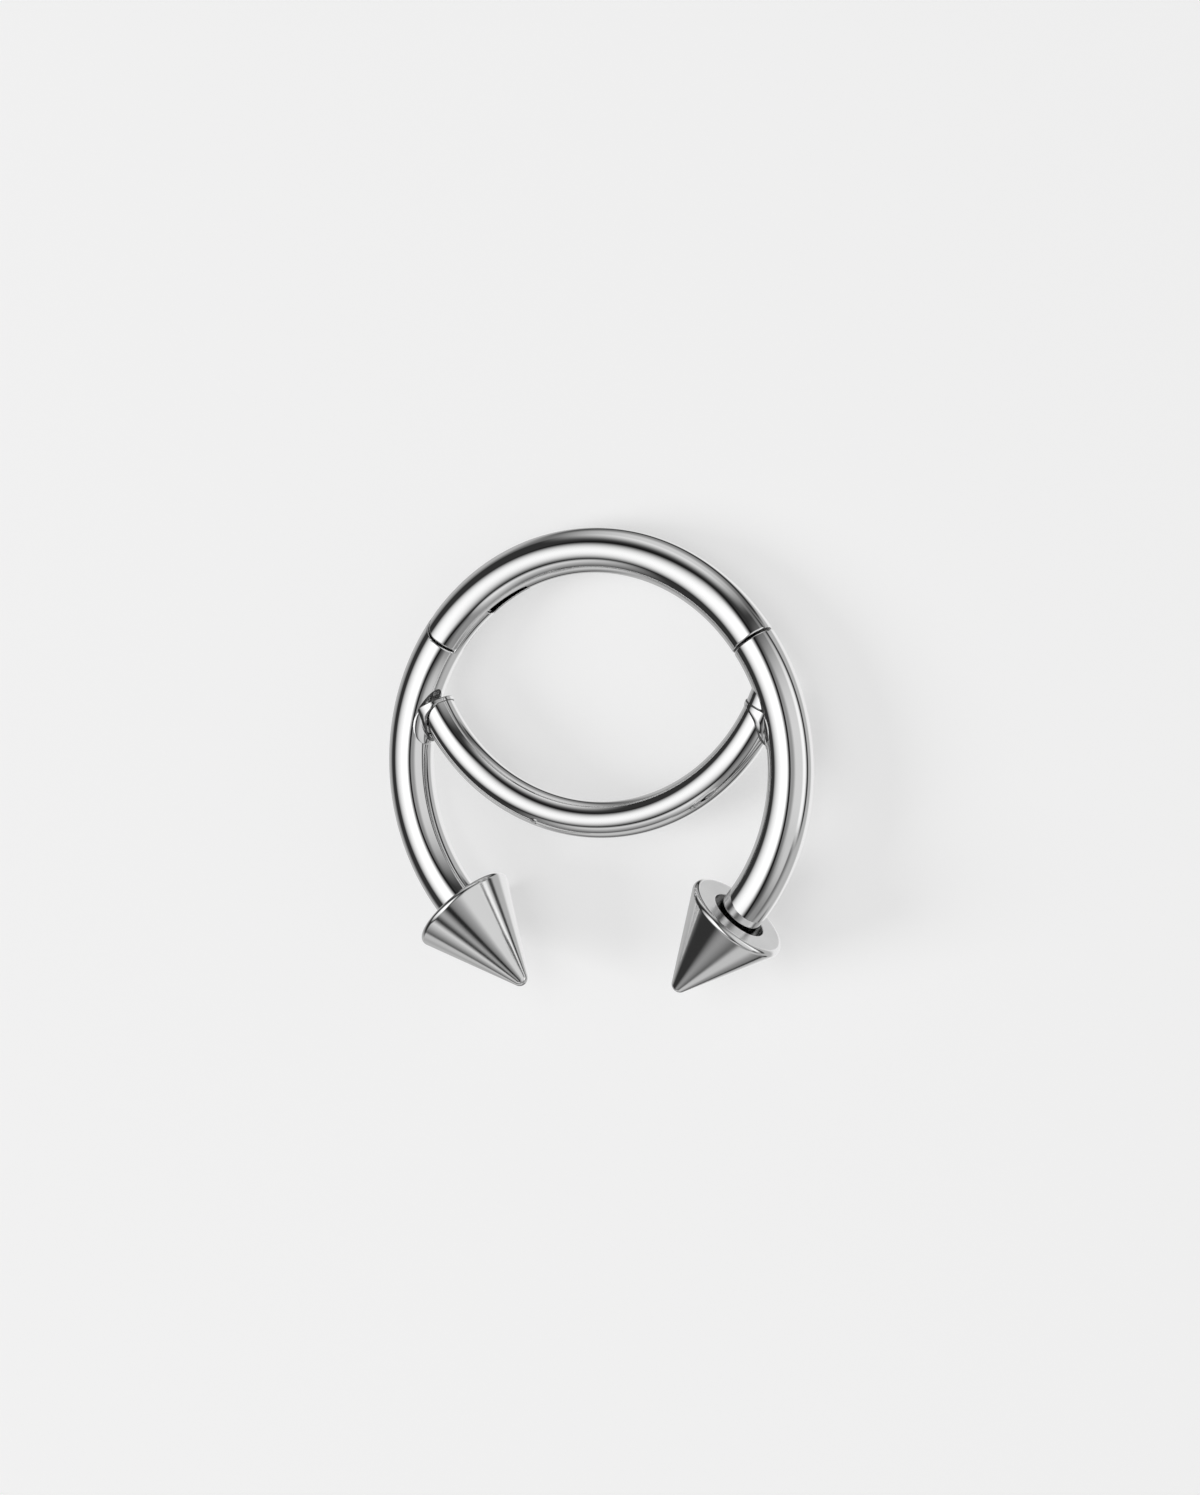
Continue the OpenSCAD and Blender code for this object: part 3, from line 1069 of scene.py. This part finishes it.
def main():
    polished = steel("polished_steel", **POLISHED)
    spike_flank = steel("spike_steel", **SPIKE_FLANK)
    satin = steel("satin_steel", **SATIN)
    seam_shade = steel("seam_shade_steel", **SEAM_SHADE)
    recess_shade = steel("recess_shade_steel", **RECESS_SHADE)
    pin = steel("pin_steel", **PIN)

    # The seams' cut faces and the cuffs' chamfers and grooves get the dark steel of painted shade.
    add_legs([polished, seam_shade])
    add_segment([polished, seam_shade])
    add_cross_bar(polished)
    for side, mirrored in (("left", False), ("right", True)):
        add_solder(side, mirrored, [polished, seam_shade])
    # The spikes' recesses and holes get the greyer steel of painted shade.
    add_spike("left_spike", LEFT_END, 1, [spike_flank, satin, recess_shade])
    add_spike("right_spike", RIGHT_END, -1, [spike_flank, satin, recess_shade])
    add_hinge_pin(pin)

    add_floor()
    add_camera()
    add_studio()
    add_lamp()
    bpy.context.scene.view_settings.view_transform = "Standard"


main()
